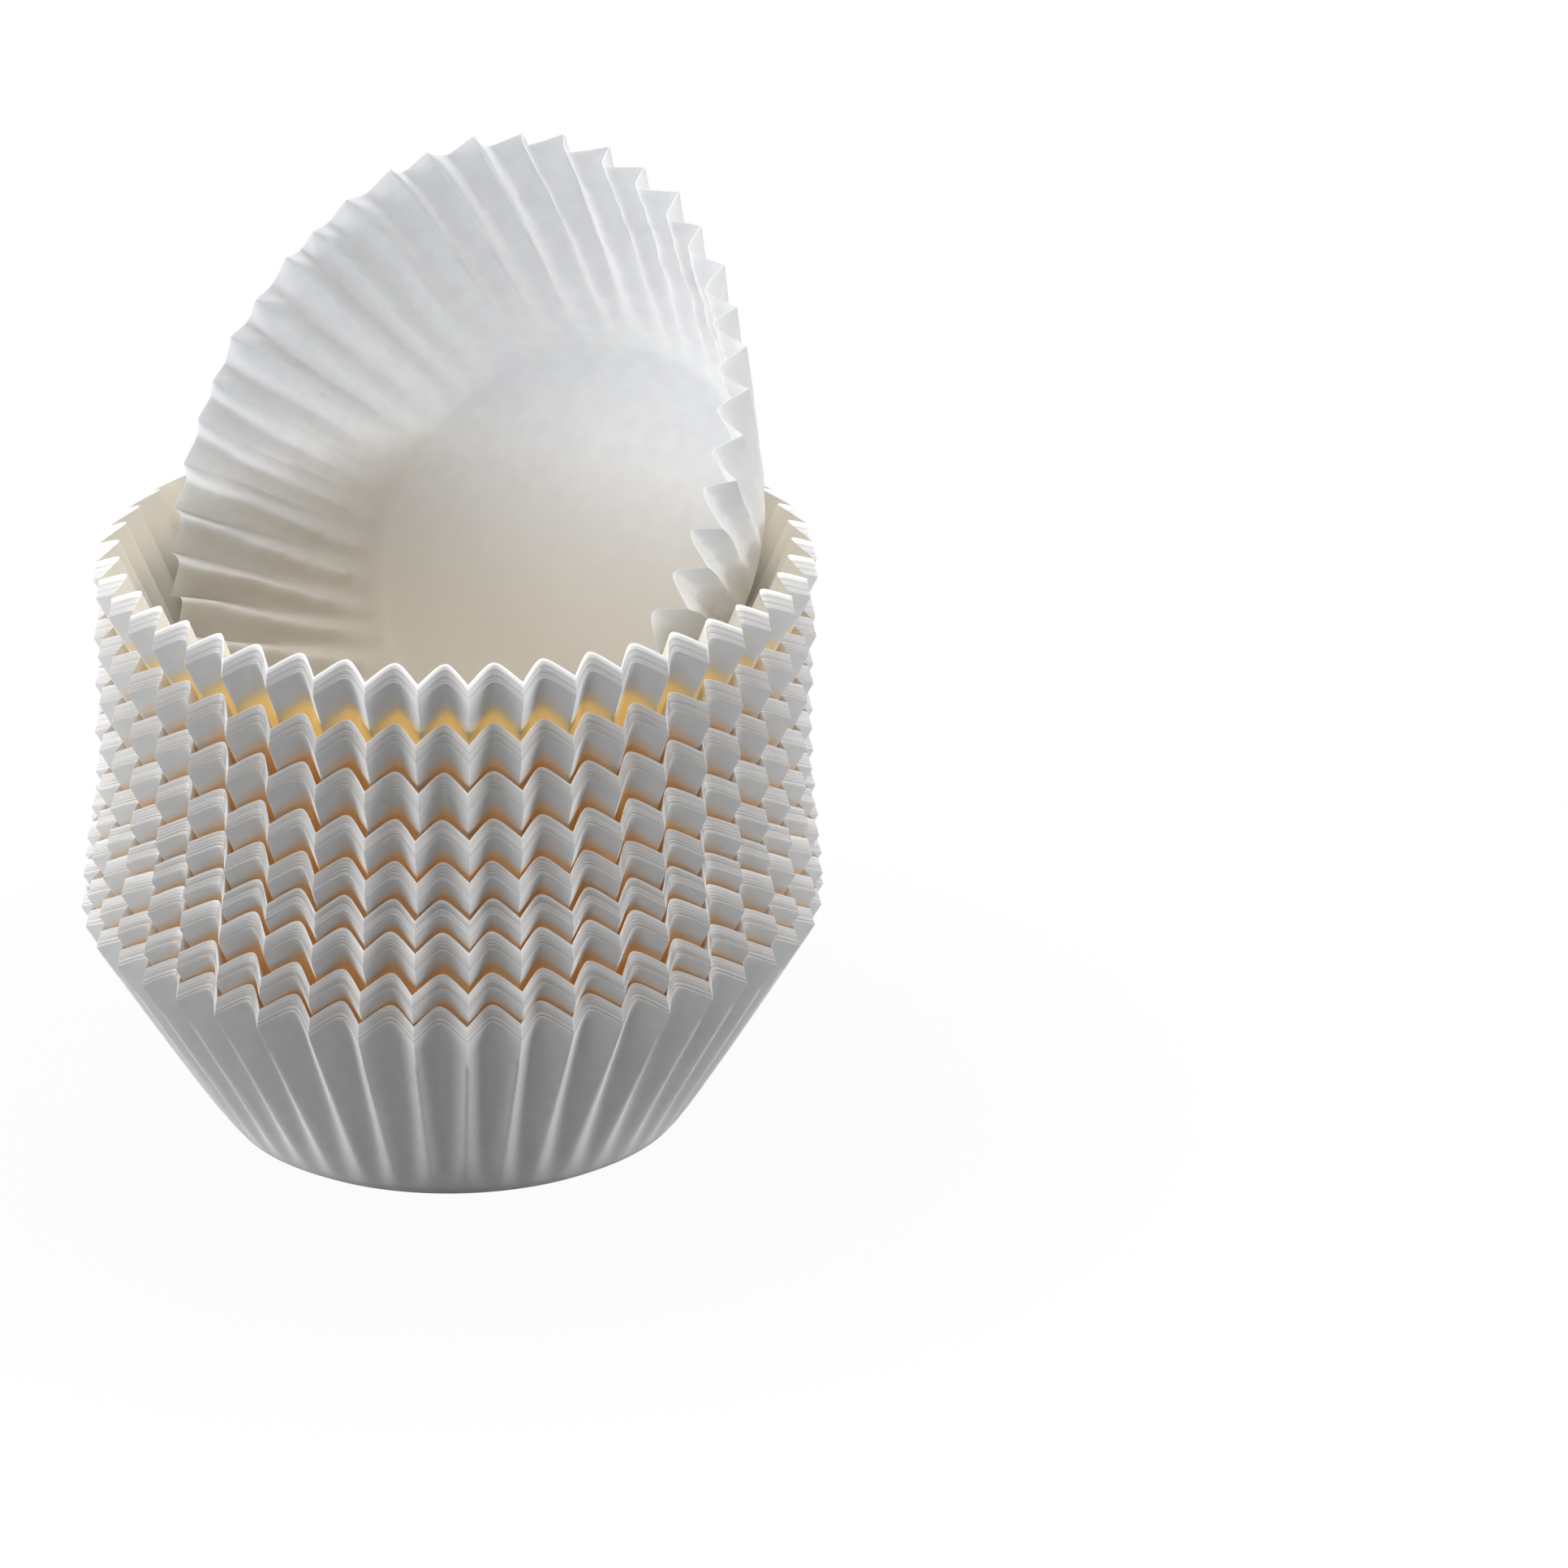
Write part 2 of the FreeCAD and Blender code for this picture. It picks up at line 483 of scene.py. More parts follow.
        # Painted light standing in for light that came through other sheets: cream on inner walls, gold or
        # brown in the gaps, over the painted shade
        tinted = add_node(tree, "ShaderNodeMix", {"data_type": "RGBA"}, {
            "Factor": warm, "A": self.shaded(tree, marks, paper.outputs["Result"]), "B": linear(self.warm)})
        deep = add_node(tree, "ShaderNodeMix", {"data_type": "RGBA"}, {
            "Factor": glow, "A": linear(self.gap), "B": linear(self.glow)})
        colour = add_node(tree, "ShaderNodeMix", {"data_type": "RGBA"}, {
            "Factor": gap, "A": tinted.outputs["Result"], "B": deep.outputs["Result"]})
        # Painted glow: the gaps give off a faint brown emission, golden in the top bundle, growing with the
        # square of the gap mark
        light = add_node(tree, "ShaderNodeMix", {"data_type": "RGBA"}, {
            "Factor": glow, "A": linear(self.gap_glow), "B": linear(self.glow)})
        strength = add_node(tree, "ShaderNodeMapRange", None, {
            "Value": glow, "To Min": self.gap_glow_strength, "To Max": self.glow_strength})
        squared = add_node(tree, "ShaderNodeMath", {"operation": "POWER"}, {0: gap, 1: 2.0})
        shine = add_node(tree, "ShaderNodeMath", {"operation": "MULTIPLY"}, {
            0: squared.outputs[0], 1: strength.outputs["Result"]})
        # Fibres: a fine felt that breaks up what little gloss there is
        fibres = add_node(tree, "ShaderNodeTexNoise", None, {
            "Vector": place, "Scale": 1 / (self.fibre_mm * MM), "Detail": 1.0, "Roughness": 0.7})
        bump = add_node(tree, "ShaderNodeBump", None, {
            "Height": fibres.outputs["Fac"], "Strength": self.fibre_strength,
            "Distance": self.fibre_relief_mm * MM})
        surface = add_node(tree, "ShaderNodeBsdfPrincipled", None, {
            "Base Color": colour.outputs["Result"], "Roughness": self.roughness, "IOR": self.ior,
            "Specular IOR Level": self.gloss, "Emission Color": light.outputs["Result"],
            "Emission Strength": shine.outputs[0], "Normal": bump.outputs["Normal"]})
        through = add_node(tree, "ShaderNodeBsdfTranslucent", None, {
            "Color": colour.outputs["Result"], "Normal": bump.outputs["Normal"]})
        mixed = add_node(tree, "ShaderNodeMixShader", None, {
            0: self.see_through, 1: surface.outputs["BSDF"], 2: through.outputs["BSDF"]})
        return mixed.outputs["Shader"]


@dataclass
class Bundle:
    """About a dozen liners pressed into one another, in the place of one solid of the frame."""

    number: int
    sheets: int = 12
    thickness: float = 1.8
    flare: float = 0.5
    drop: float = 1.35
    first_fold: float = 1.2
    nest_clearance: float = 0.3
    # A sheet's thickness beside the step from one sheet to the next, and the tightest gap beside the widest
    paper_share: float = 0.5
    tightest_gap: float = 0.5
    # How uneven the folds are: in place, as shares of a pleat, and in depth
    fold_spread: float = 0.035
    depth_spread: float = 0.09
    # The cut edge: how low it lies, how uneven it is, and how far that of each bundle's inmost sheet stands
    # up, with the share of that for its outermost sheet
    trim: float = 0.04
    trim_spread: float = 0.02
    trim_waves: tuple[int, ...] = (1, 2, 3, 5)
    outermost_rise: float = 0.6
    proud: tuple[float, ...] = (0.0, 0.0, 0.0, 0.0, 0.0, 0.05, 0.2, 0.4, 0.6)
    # The painted shade and glow in the gap under the rim: how much of it the bundle below hides, how far it
    # reaches up the outer folds, and by what share of the gap, less a loss, it reaches further up in the
    # recesses
    hidden_rise: float = 0.5
    light_reach: float = 0.9
    widest_gap: float = 3.4
    recess_reach: float = 0.75
    recess_loss: float = 0.5
    # The painted shade on packed sheets, with more in the folds' recesses, less inwards and some sheets
    # darker at random, and on the open wall
    packed_shade: float = 0.65
    recess_shade: float = 0.35
    inward_loss: float = 0.4
    tones: tuple[float, float] = (0.5, 1.3)
    wall_shade: float = 0.15
    # Steps from the bend to the rim, and how they crowd towards it
    shown_rings: int = 14
    close_rings: int = 5
    hidden_rings: int = 2
    crowding: float = 1.4
    seed: int = 20

    def node(self) -> str:
        """Name of the bundle's solid in the frame."""
        return f"liner_bundle_{self.number}"

    def is_top(self) -> bool:
        """Whether this bundle's inside is open to view."""
        return self.number == BUNDLES

    def sides(self) -> tuple[Side, Side]:
        """Work out the bundle's faces from the solid's box and, in a nest, the base of the next.

        Returns:
            The outside and the inside.
        """
        low, high = (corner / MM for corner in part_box(self.node()))
        reach = (high.x - low.x) / 2 / math.cos(math.radians(self.first_fold))
        mouth = reach - PLEAT_DEPTH
        rim = high.z - low.z - self.thickness
        outside = Side(BEND_RADIUS + self.thickness, 0.0, BASE_RADIUS, mouth, rim, self.drop)
        bend, floor, base = BEND_RADIUS, self.thickness, BASE_RADIUS
        if self.number < BUNDLES:
            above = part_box(f"liner_bundle_{self.number + 1}")[0].z / MM
            bend, floor, base = outside.bend, above - low.z - self.nest_clearance, base + self.nest_clearance
        inside = Side(bend, floor, base, mouth - self.flare, rim + self.thickness, self.drop)
        return outside, inside

    def columns(self, fold: Fold, rng: np.random.Generator) -> tuple[np.ndarray, np.ndarray, np.ndarray]:
        """Columns of a sheet.

        Args:
            fold: How finely each pleat is divided.
            rng: Source of the unevenness, the same for every sheet of a bundle.

        Returns:
            For each column its angle, its place across the pleat, and the pleat's depth.
        """
        across = np.tile(fold.across(), PLEATS)
        pleat = np.repeat(np.arange(PLEATS), len(fold.across()))
        outer = rng.uniform(-self.fold_spread, self.fold_spread, PLEATS + 1)
        inner = rng.uniform(-self.fold_spread, self.fold_spread, PLEATS)
        outer[-1] = outer[0]
        depths = PLEAT_DEPTH * (1 - rng.uniform(0.0, self.depth_spread, PLEATS + 1))
        depths[-1] = depths[0]
        ahead = across > 0
        outer_shift = np.where(ahead, outer[pleat + 1], outer[pleat])
        shift = outer_shift * np.abs(across) + inner[pleat] * (1 - np.abs(across))
        angles = math.radians(self.first_fold) + PLEAT_STEP * (pleat + 0.5 + across / 2 + shift)
        return angles, across, np.where(ahead, depths[pleat + 1], depths[pleat])

    def gap_below(self) -> float:
        """Measure the gap that shows under this bundle's rim.

        Returns:
            Height from its outer rim down to the rim of the bundle below, endless for the lowest.
        """
        if self.number == 1:
            return math.inf
        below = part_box(f"liner_bundle_{self.number - 1}")[1].z / MM
        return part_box(self.node())[1].z / MM - self.thickness - below

    def painted_gap_mark(self, across: np.ndarray, height: float, wall: float) -> np.ndarray:
        """How far a ring of the outer wall takes the painted shade and glow of the gap above the bundle
        below.

        Args:
            across: Place of each column across its pleat.
            height: Place of the ring up the wall.
            wall: Length of the wall.

        Returns:
            A share for each column, 1 where the bundle below starts to hide the wall.
        """
        recess = 1 - pleat_share(across, np.ones_like(across))
        further = min(self.gap_below(), self.widest_gap) * self.recess_reach - self.recess_loss
        reach = self.light_reach + recess * further
        above = self.gap_below() + self.hidden_rise - (1 - height) * wall
        return 1 - smooth(0.0, 1.0, above / reach)

    def sheet_places(self, rng: np.random.Generator) -> tuple[float, list[float]]:
        """How the sheets share the bundle's thickness.

        Args:
            rng: Source of the unevenness.

        Returns:
            The share of one sheet, and the share at which each sheet starts.
        """
        paper = self.paper_share / (self.sheets - 1 + self.paper_share)
        gaps = rng.uniform(self.tightest_gap, 1.0, self.sheets - 1)
        gaps *= (1 - paper * self.sheets) / gaps.sum()
        return paper, [number * paper + gaps[:number].sum() for number in range(self.sheets)]

    def build(self, paper: bpy.types.Material, core: bpy.types.Material) -> bpy.types.Object:
        """Make the bundle's sheets.

        Args:
            paper: The paper's material on the faces open to view.
            core: The same paper where it is packed between other sheets.

        Returns:
            The bundle as one piece.
        """
        outside, inside = self.sides()
        collected = SheetMesh()
        edges = np.random.default_rng(self.seed * 7 + self.number)
        paper_share, places = self.sheet_places(edges)
        for number in range(self.sheets):
            rng = np.random.default_rng(self.seed + self.number)
            fold = Fold.COARSE
            if any(self.shown(number)):
                fold = Fold.FINEST if self.number in (1, BUNDLES) else Fold.FINE
            front = outside.toward(inside, places[number])
            back = outside.toward(inside, places[number] + paper_share)
            self.add_sheet(collected, (front, back), self.columns(fold, rng), number, edges)
        piece = collected.build(f"pressed_liners_{self.number}")
        low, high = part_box(self.node())
        piece.data.transform(Matrix.Translation(((low.x + high.x) / 2, (low.y + high.y) / 2, low.z)))
        piece.data.materials.append(paper)
        piece.data.materials.append(core)
        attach(piece, BODY)
        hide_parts(self.node())
        return piece

    def add_sheet(self, collected: SheetMesh, faces: tuple[Side, Side],
                  columns: tuple[np.ndarray, np.ndarray, np.ndarray], number: int,
                  rng: np.random.Generator) -> None:
        """Add one liner of the bundle.

        Args:
            collected: Takes the sheet.
            faces: The liner's outer and inner face.
            columns: Angle, place across the pleat and depth of each column.
            number: The liner's number, counted from the outermost.
            rng: Source of the cut edge's unevenness.
        """
        angles, across, depth = columns
        foot = faces[0].bend_point(1.0)
        wall = math.hypot(faces[0].mouth - foot[0], faces[0].rim - foot[1])
        inward = number / (self.sheets - 1)
        uneven = ripple(rng, angles, self.trim_waves, self.trim_spread)
        uneven += rng.uniform(-self.trim_spread, self.trim_spread)
        tone = rng.uniform(*self.tones)
        share = self.outermost_rise + (1 - self.outermost_rise) * inward ** 2
        raised = self.proud[self.number - 1] * share
        cut = (self.trim + uneven - raised) / wall
        folded = np.abs(across) == 1
        halves, tints, creases, papers = [], [], [], []
        for side, (face, open_to_view) in enumerate(zip(faces, self.shown(number))):
            heights = self.ring_heights(number, open_to_view)
            rows = face.bend_rows(angles, 3 if open_to_view else 1)
            bend_rings = len(rows)
            rows += [face.wall_row(angles, across, height * (1 - cut * height), depth) for height in heights]
            sharp = np.zeros((len(rows), len(angles)), int)
            sharp[-max(2, len(heights) // 3):, folded] = FOLD_UNIT * (1 + np.arange(folded.sum()))
            sharp[-1] += 1 + side
            marks = self.inner_marks(across, inward, tone, len(rows))
            # The top bundle's open inside is all painted warm light, without painted shade
            if side == 1 and self.is_top():
                marks[:, :, Mark.WARM_LIGHT] = 1.0
                marks[:, :, Mark.PAINTED_SHADE] = 0.0
            elif side == 0:
                if open_to_view:
                    self.mark_wall(marks[:bend_rings], marks[bend_rings:], across, heights, wall)
                # The last rings of each outer face carry the painted glow of the cut rim
                last_rings = math.ceil(len(heights) / 3)
                marks[-last_rings:, :, Mark.RIM_GLOW] = self.rim_glow_share(inward)
            halves.append(rows)
            tints.append(marks)
            creases.append(sharp)
            papers.append(np.full(len(rows), Layer.OPEN if open_to_view else Layer.PACKED))
        collected.add(np.stack(halves[0] + halves[1][::-1]), np.concatenate([tints[0], tints[1][::-1]]),
                      np.concatenate([creases[0], creases[1][::-1]]), np.concatenate(papers))

    def shown(self, number: int) -> tuple[bool, bool]:
        """Whether the outer and the inner face of a sheet are open to view."""
        return number == 0, number == self.sheets - 1 and self.is_top()

    def rim_glow_share(self, inward: float) -> float:
        """How much painted glow a sheet's cut rim gives off: most at the inmost sheets, and more at the open
        top.
        """
        return inward ** 5 if self.is_top() else 0.2 * inward ** 8

    def inner_marks(self, across: np.ndarray, inward: float, tone: float, rings: int) -> np.ndarray:
        """Marks of a sheet in the laminated rim: painted shade, darker in the folds' recesses and outwards,
        and in the top bundle the golden glow.

        Args:
            across: Place of each column across its pleat.
            inward: Place of the sheet in the bundle, 0 outermost and 1 innermost.
            tone: How dark this sheet is beside its neighbours.
            rings: Number of rings of the face.

        Returns:
            The marks, rings by columns by marks.
        """
        recess = 1 - pleat_share(across, np.ones_like(across))
        marks = np.zeros((rings, len(across), len(Mark)))
        # In the top bundle the painted gap colour and glow are golden, elsewhere brown
        marks[:, :, Mark.GLOW] = 1.0 if self.is_top() else 0.0
        shade = (self.packed_shade + self.recess_shade * recess) * (1 - self.inward_loss * inward)
        marks[:, :, Mark.PAINTED_SHADE] = shade * tone
        return marks

    def mark_wall(self, bend: np.ndarray, wall_marks: np.ndarray, across: np.ndarray,
                  heights: list[float], wall: float) -> None:
        """Mark the painted light on the bundle's open outside: painted shade and glow in the gap below, and a
        light painted shade in the recesses of its folds.

        Args:
            bend: Marks of the bend's rings, changed here.
            wall_marks: Marks of the wall's rings, changed here.
            across: Place of each column across its pleat.
            heights: Place of each ring up the wall.
            wall: Length of the wall.
        """
        recess = 1 - pleat_share(across, np.ones_like(across))
        for ring, height in enumerate(heights):
            wall_marks[ring, :, Mark.GAP_SHADE_AND_GLOW] = self.painted_gap_mark(across, height, wall)
            wall_marks[ring, :, Mark.PAINTED_SHADE] = self.wall_shade * recess * height
        # Above the lowest bundle the bend takes the full painted gap colour and glow; no bend takes painted
        # shade
        bend[:, :, Mark.GAP_SHADE_AND_GLOW] = 1.0 if self.number > 1 else 0.0
        bend[:, :, Mark.PAINTED_SHADE] = 0.0

    def ring_heights(self, number: int, open_to_view: bool) -> list[float]:
        """Places of the wall's rings, closer together towards the rim.

        Args:
            number: The liner's number, counted from the outermost.
            open_to_view: Whether this face of it is open to view.

        Returns:
            Shares of the wall's height, from the bend to the rim. The sheets just behind the open inside
            of the top bundle follow its curve closely, and the hidden ones roughly.
        """
        steps = self.hidden_rings
        if open_to_view:
            steps = self.shown_rings
        elif self.is_top() and number > self.sheets // 2:
            steps = self.close_rings
        return [1 - (1 - step / steps) ** self.crowding for step in range(steps + 1)]


@dataclass
class LooseLiner:
    """The single liner that leans in the mouth of the top bundle."""

    node: str = "leaning_liner"
    paper_thickness: float = 0.08
    solid_thickness: float = 0.2
    mouth: float = 33.2
    oval: float = 2.2
    drop: float = 2.1
    first_fold: float = 1.8
    crease: float = 3.0
    tilt: float = 53.9
    heading: float = -126.5
    # How finely it is divided, and over how many rings from the rim its folds are crisp
    base_rings: tuple[float, ...] = (0.05, 0.3, 0.6, 0.85)
    bend_rings: int = 5
    wall_rings: int = 58
    crisp_rings: int = 30
    # Places of the outer and the inner folds: how far off they start, and how far they wander up the wall
    outer_wander: tuple[float, float] = (0.09, 0.05)
    inner_wander: tuple[float, float] = (0.07, 0.07)
    wander_waves: tuple[float, float] = (0.8, 1.6)
    # Wear: how much shallower folds may be, and the size, number and width of the dents on inner folds
    depth_spread: float = 0.2
    dent: float = 0.22
    dent_waves: tuple[int, ...] = (3, 5, 9, 14)
    dent_width: float = 0.4
    smooth_end: float = 0.15
    # The heights over the middle of its base between which the painted warm light from the stack fades
    warm_below: float = -12.0
    warm_above: float = 14.0
    seed: int = 5

    def side(self, lift: float) -> Side:
        """One face of the liner, standing upright on its base.

        Args:
            lift: How far the face lies above the outer one.

        Returns:
            The face.
        """
        bend = BEND_RADIUS + self.solid_thickness - lift
        wall = DISC_RADIUS - BASE_RADIUS - (BEND_RADIUS + self.solid_thickness) * BEND_ANGLE
        start = Side(BEND_RADIUS + self.solid_thickness, 0, BASE_RADIUS, self.mouth, 0, 0).bend_point(1.0)
        rim = start[1] + math.sqrt(wall ** 2 - (self.mouth - start[0]) ** 2)
        rise = lift / math.cos(BEND_ANGLE)
        return Side(bend, lift, BASE_RADIUS, self.mouth, rim + rise, self.drop, self.oval, self.crease)

    def turning(self) -> Matrix:
        """How the liner is tilted and turned from standing upright."""
        return (Matrix.Rotation(math.radians(self.heading), 4, "Z")
                @ Matrix.Rotation(math.radians(self.tilt), 4, "Y"))

    def place(self) -> Matrix:
        """Find where the liner goes: turned, then moved so that its plain form has the solid's box.

        Returns:
            The place, in millimetres.
        """
        outer = math.radians(self.first_fold) + PLEAT_STEP * np.arange(PLEATS)
        points = []
        for side in (self.side(0.0), self.side(self.solid_thickness)):
            rim = side.mouth + side.oval * np.cos(2 * outer) + PLEAT_DEPTH
            points.append(side.ring(rim, side.rim - side.drop, outer))
            inner = outer + PLEAT_STEP / 2
            points.append(side.ring(side.mouth + side.oval * np.cos(2 * inner), side.rim, inner))
            points.append(side.ring(side.base, side.floor, outer))
        turn = self.turning()
        moved = np.concatenate(points) @ np.array(turn.to_3x3()).T
        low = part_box(self.node)[0] / MM
        return Matrix.Translation(low - Vector(moved.min(axis=0))) @ turn

    def fold_angles(self, rng: np.random.Generator, across: np.ndarray, pleat: np.ndarray,
                    heights: np.ndarray) -> np.ndarray:
        """Angle of each column at each height: the folds are unevenly spaced and wander a little.

        Args:
            rng: Source of the unevenness.
            across: Place of each column across its pleat.
            pleat: Number of each column's pleat.
            heights: Places up the wall.

        Returns:
            Angles in radians, heights by columns.
        """
        bent = []
        for spread, wander in (self.outer_wander, self.inner_wander):
            places = rng.uniform(-spread, spread, PLEATS)
            waves = rng.uniform(*self.wander_waves, PLEATS)
            starts = rng.uniform(0, 2 * math.pi, PLEATS)
            swing = wander * np.sin(2 * math.pi * waves * heights[:, None] + starts) * heights[:, None]
            bent.append(places + swing)
        outer, inner = bent
        ends = np.where(across > 0, outer[:, (pleat + 1) % PLEATS], outer[:, pleat])
        shift = ends * np.abs(across) + inner[:, pleat] * (1 - np.abs(across))
        return math.radians(self.first_fold) + PLEAT_STEP * (pleat + 0.5 + across / 2 + shift)

    def fold_depths(self, rng: np.random.Generator, across: np.ndarray, pleat: np.ndarray) -> np.ndarray:
        """Depth of each column's pleat, a little less than full and uneven."""
        depths = PLEAT_DEPTH * (1 - rng.uniform(0.0, self.depth_spread, PLEATS))
        return np.where(across > 0, depths[(pleat + 1) % PLEATS], depths[pleat])

    def crinkles(self, rng: np.random.Generator, across: np.ndarray, pleat: np.ndarray,
                 heights: np.ndarray) -> np.ndarray:
        """Small dents along the worn inner folds.

        Args:
            rng: Source of the unevenness.
            across: Place of each column across its pleat.
            pleat: Number of each column's pleat.
            heights: Places up the wall.

        Returns:
            How far out each point is pushed, in millimetres, heights by columns.
        """
        dents = np.zeros((len(heights), PLEATS))
        for waves in self.dent_waves:
            starts = rng.uniform(0, 2 * math.pi, PLEATS)
            sizes = rng.uniform(0.4, 1.0, PLEATS) * self.dent / math.sqrt(waves)
            dents += sizes * np.sin(2 * math.pi * waves * heights[:, None] + starts)
        worn = np.exp(-(across / self.dent_width) ** 2)
        ends = smooth(0.0, self.smooth_end, heights) * (1 - smooth(1 - self.smooth_end, 1.0, heights))
        return dents[:, pleat] * worn * ends[:, None]

    def painted_warmth(self, points: np.ndarray) -> np.ndarray:
        """How far the painted warm tint, standing in for light from inside the stack, colours the liner.

        Args:
            points: Points of the liner before it is turned, rings by columns by three.

        Returns:
            A share for each point, 1 where it lies low.
        """
        turned = points.reshape(-1, 3) @ np.array(self.turning().to_3x3()).T
        upward = turned[:, 2].reshape(points.shape[:2])
        return 1 - smooth(self.warm_below, self.warm_above, upward)

    def build(self, paper: bpy.types.Material) -> bpy.types.Object:
        """Make the liner.

        Args:
            paper: The paper's material.

        Returns:
            The liner as one piece.
        """
        rng = np.random.default_rng(self.seed)
        across = np.tile(Fold.FINE.across(), PLEATS)
        pleat = np.repeat(np.arange(PLEATS), len(Fold.FINE.across()))
        heights = np.linspace(0, 1, self.wall_rings)
        angles = self.fold_angles(rng, across, pleat, heights)
        depths = self.fold_depths(rng, across, pleat)
        crinkle = self.crinkles(rng, across, pleat, heights)
        faces = []
        for side in (self.side(0.0), self.side(self.paper_thickness)):
            rows = side.base_rows(angles[0], self.base_rings) + side.bend_rows(angles[0], self.bend_rings)
            for place, height in enumerate(heights):
                row = side.wall_row(angles[place], across, height, depths)
                row[:, :2] *= 1 + (crinkle[place] / np.hypot(row[:, 0], row[:, 1]))[:, None]
                rows.append(row)
            faces.append(rows)
        grid = np.stack(faces[0] + faces[1][::-1])
        rim = len(faces[0])
        tints = np.zeros(grid.shape[:2] + (len(Mark),))
        # Painted light on the loose liner: a warm tint low down, and painted shade over the whole of its
        # outer face
        tints[:, :, Mark.WARM_LIGHT] = self.painted_warmth(grid)
        tints[:rim, :, Mark.PAINTED_SHADE] = 1.0
        folded = np.abs(across) == 1
        creases = np.zeros(grid.shape[:2], int)
        crisp = slice(rim - self.crisp_rings, rim + self.crisp_rings)
        creases[crisp, folded] = FOLD_UNIT * (1 + np.arange(folded.sum()))
        creases[rim - 1] += 1
        creases[rim] += 2
        collected = SheetMesh()
        collected.add(grid, tints, creases, np.full(len(grid), Layer.OPEN))
        piece = collected.build("loose_liner", self.place())
        piece.data.materials.append(paper)
        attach(piece, BODY)
        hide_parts(self.node)
        return piece


@dataclass(frozen=True)
class Softbox:
    """One large soft lamp, with its sizes in metres and its power in watts."""

    name: str
    place: tuple[float, float, float]
    width: float
    height: float
    power: float
    colour: str = "#FFFFFF"

    def build(self, aim: Vector) -> bpy.types.Object:
        """Hang the lamp and point it.

        Args:
            aim: The point that it shines at.

        Returns:
            The lamp.
        """
        lamp = bpy.data.lights.new(self.name, "AREA")
        lamp.shape = "RECTANGLE"
        lamp.size, lamp.size_y = self.width, self.height
        lamp.energy = self.power
        lamp.color = linear(self.colour)[:3]
        holder = bpy.data.objects.new(self.name, lamp)
        holder.location = self.place
        holder.rotation_euler = (aim - Vector(self.place)).to_track_quat("-Z", "Y").to_euler()
        bpy.context.scene.collection.objects.link(holder)
        return holder


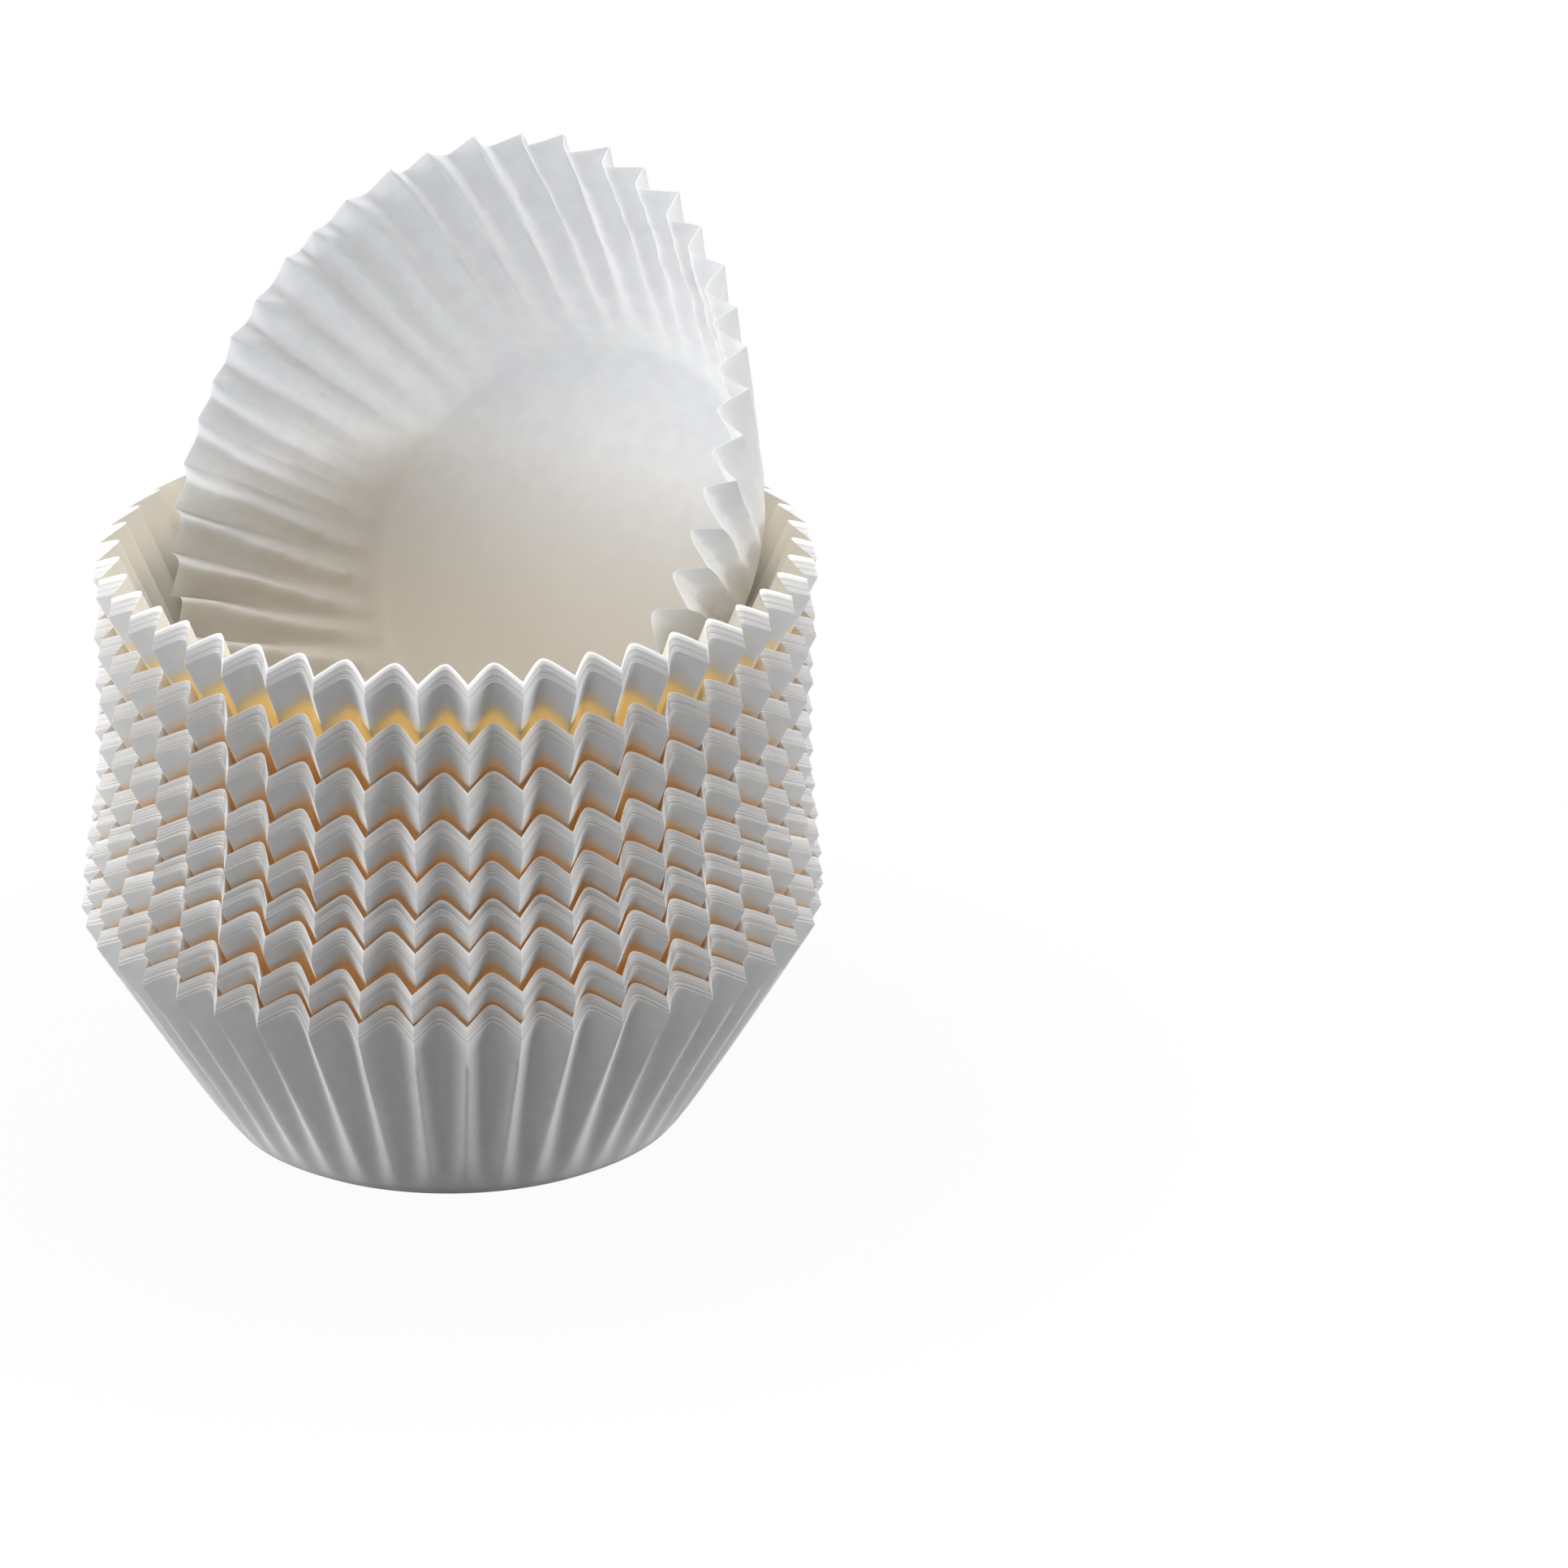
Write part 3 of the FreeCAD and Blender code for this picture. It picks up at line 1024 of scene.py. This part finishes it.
@dataclass(frozen=True)
class Studio:
    """White floor, and soft light from the sides, the back and above. Sizes are in metres."""

    floor_size: float = 8.0
    floor_depth: float = 0.00005
    floor_colour: str = "#909090"
    floor_share: float = 0.96
    # The stack's shadow shows on the floor, and fades out between these distances
    shadow_near: float = 0.05
    shadow_far: float = 0.09
    sky_colour: str = "#FCFDFF"
    # Strength of the sky in front and behind, and between which slopes of the view it changes
    sky_front: float = 0.03
    sky_back: float = 1.36
    sky_turn: tuple[float, float] = (-0.7, 0.35)
    lamps: tuple[Softbox, ...] = (
        Softbox("left_strip", (-0.35, 0.05, 0.06), 0.3, 0.1, 0.8),
        Softbox("left_softbox", (-0.88, -0.2, 0.2), 0.5, 0.36, 2.9),
        Softbox("right_softbox", (0.9, -0.15, 0.2), 0.5, 0.36, 6.0),
        Softbox("top_softbox", (-0.1, 0.0, 1.1), 0.9, 0.9, 6.6, "#F0F5FF"),
        Softbox("front_softbox", (-0.2, -0.7, 0.9), 0.7, 0.5, 4.6),
        Softbox("back_softbox", (0.0, 0.9, 0.7), 1.2, 0.5, 3.0, "#F0F5FF"),
    )

    def add_floor(self) -> None:
        """Lay the floor: white to the camera, with the shadow of the stack on it."""
        half = self.floor_size / 2
        mesh = bpy.data.meshes.new("studio_floor")
        corners = [(-half, -half), (half, -half), (half, half), (-half, half)]
        mesh.from_pydata([(x, y, -self.floor_depth) for x, y in corners], [], [(0, 1, 2, 3)])
        floor = bpy.data.objects.new("studio_floor", mesh)
        bpy.context.scene.collection.objects.link(floor)
        material = bpy.data.materials.new("white_studio_card")
        material.use_nodes = True
        tree = material.node_tree
        tree.nodes.clear()
        card = add_node(tree, "ShaderNodeBsdfDiffuse", None, {"Color": linear(self.floor_colour)})
        white = add_node(tree, "ShaderNodeEmission", None, {"Color": (1, 1, 1, 1), "Strength": 1.0})
        place = add_node(tree, "ShaderNodeTexCoord").outputs["Object"]
        away = add_node(tree, "ShaderNodeVectorMath", {"operation": "LENGTH"}, {0: place})
        whiteness = add_node(tree, "ShaderNodeMapRange", {"interpolation_type": "SMOOTHSTEP"}, {
            "Value": away.outputs["Value"], "From Min": self.shadow_near, "From Max": self.shadow_far,
            "To Min": self.floor_share, "To Max": 1.0})
        share = add_node(tree, "ShaderNodeMath", {"operation": "MULTIPLY"}, {
            0: self.seen_directly(tree), 1: whiteness.outputs["Result"]})
        mixed = add_node(tree, "ShaderNodeMixShader", None, {
            0: share.outputs[0], 1: card.outputs["BSDF"], 2: white.outputs["Emission"]})
        add_node(tree, "ShaderNodeOutputMaterial", None, {"Surface": mixed.outputs["Shader"]})
        mesh.materials.append(material)

    @staticmethod
    def seen_directly(tree: bpy.types.NodeTree) -> bpy.types.NodeSocket:
        """Tell the rays that look at the studio from those that gather its light.

        Args:
            tree: The nodes of the floor or the world.

        Returns:
            1 for rays from the camera, a mirror or clear glass, and 0 for the rest, as from lit paper.
        """
        path = add_node(tree, "ShaderNodeLightPath")
        glossy = add_node(tree, "ShaderNodeMath", {"operation": "MAXIMUM"}, {
            0: path.outputs["Is Camera Ray"], 1: path.outputs["Is Glossy Ray"]})
        clear = add_node(tree, "ShaderNodeMath", {"operation": "SUBTRACT", "use_clamp": True}, {
            0: path.outputs["Is Transmission Ray"], 1: path.outputs["Is Diffuse Ray"]})
        direct = add_node(tree, "ShaderNodeMath", {"operation": "MAXIMUM"}, {
            0: glossy.outputs[0], 1: clear.outputs[0]})
        return direct.outputs[0]

    def add_sky(self) -> None:
        """Surround the scene with soft light, brighter from the back than from the front."""
        world = bpy.data.worlds.new("studio_world")
        bpy.context.scene.world = world
        world.use_nodes = True
        tree = world.node_tree
        tree.nodes.clear()
        direction = add_node(tree, "ShaderNodeTexCoord").outputs["Generated"]
        parts = add_node(tree, "ShaderNodeSeparateXYZ", None, {"Vector": direction})
        level = add_node(tree, "ShaderNodeMapRange", {"interpolation_type": "SMOOTHSTEP"}, {
            "Value": parts.outputs["Y"], "From Min": self.sky_turn[0], "From Max": self.sky_turn[1],
            "To Min": self.sky_front, "To Max": self.sky_back})
        soft = add_node(tree, "ShaderNodeBackground", None, {
            "Color": linear(self.sky_colour), "Strength": level.outputs["Result"]})
        white = add_node(tree, "ShaderNodeBackground", None, {"Color": (1, 1, 1, 1), "Strength": 1.0})
        mixed = add_node(tree, "ShaderNodeMixShader", None, {
            0: self.seen_directly(tree), 1: soft.outputs["Background"], 2: white.outputs["Background"]})
        add_node(tree, "ShaderNodeOutputWorld", None, {"Surface": mixed.outputs["Shader"]})

    def build(self) -> None:
        """Set the colours as written, then make floor, sky and lamps."""
        bpy.context.scene.view_settings.view_transform = "Standard"
        self.add_floor()
        self.add_sky()
        aim = (CAD_BOX[0] + CAD_BOX[1]) / 2
        for lamp in self.lamps:
            lamp.build(aim)


@dataclass(frozen=True)
class Viewpoint:
    """The camera at the photograph's viewing angle, found from the stack's rims in it.

    Its place is in millimetres, its angles are in degrees and its focal length is in the photo's pixels.
    """

    place: tuple[float, float, float] = (-9.03, -945.42, 427.0)
    pitch: float = 22.44
    yaw: float = 2.667
    roll: float = -0.279
    focal_pixels: float = 12000.0

    def build(self) -> bpy.types.Object:
        """Make the camera and set it as the scene's.

        Returns:
            The camera.
        """
        pitch, yaw, roll = (math.radians(angle) for angle in (self.pitch, self.yaw, self.roll))
        ahead = Vector((math.sin(yaw) * math.cos(pitch), math.cos(yaw) * math.cos(pitch), -math.sin(pitch)))
        level = Vector((math.cos(yaw), -math.sin(yaw), 0))
        upright = level.cross(ahead)
        right = level * math.cos(roll) + upright * math.sin(roll)
        up = upright * math.cos(roll) - level * math.sin(roll)
        lens = bpy.data.cameras.new("photo_camera")
        lens.sensor_width = SENSOR_WIDTH
        lens.lens = SENSOR_WIDTH * self.focal_pixels / PHOTO_WIDTH
        lens.clip_start = 0.01
        lens.clip_end = 100.0
        camera = bpy.data.objects.new("photo_camera", lens)
        bpy.context.scene.collection.objects.link(camera)
        turn = Matrix((right, up, -ahead)).transposed().to_4x4()
        camera.matrix_world = Matrix.Translation(Vector(self.place) * MM) @ turn
        bpy.context.scene.camera = camera
        return camera


def report(piece: bpy.types.Object) -> None:
    """Log one finished piece."""
    LOG.info("%s: %d faces", piece.name, len(piece.data.polygons))


def main() -> None:
    """Build the camera, the studio and every piece, and report each one."""
    logging.basicConfig(level=logging.INFO, format="%(message)s")
    Viewpoint().build()
    Studio().build()
    pressed = GreaseproofPaper("greaseproof_paper_pressed").build()
    packed = GreaseproofPaper("greaseproof_paper_packed", packed=True).build()
    for number in range(1, BUNDLES + 1):
        report(Bundle(number).build(pressed, packed))
    # Painted light: the loose liner's paper is a whiter, bluer copy of the pressed sheets' paper, with a
    # paler painted warm tint and painted shade
    single = GreaseproofPaper("greaseproof_paper_single", face="#F8F9FB", cloud="#F3F4F7", warm="#EDE6D9",
                              shade="#D8D8D6", see_through=0.55)
    report(LooseLiner().build(single.build()))


if __name__ == "__main__":
    main()
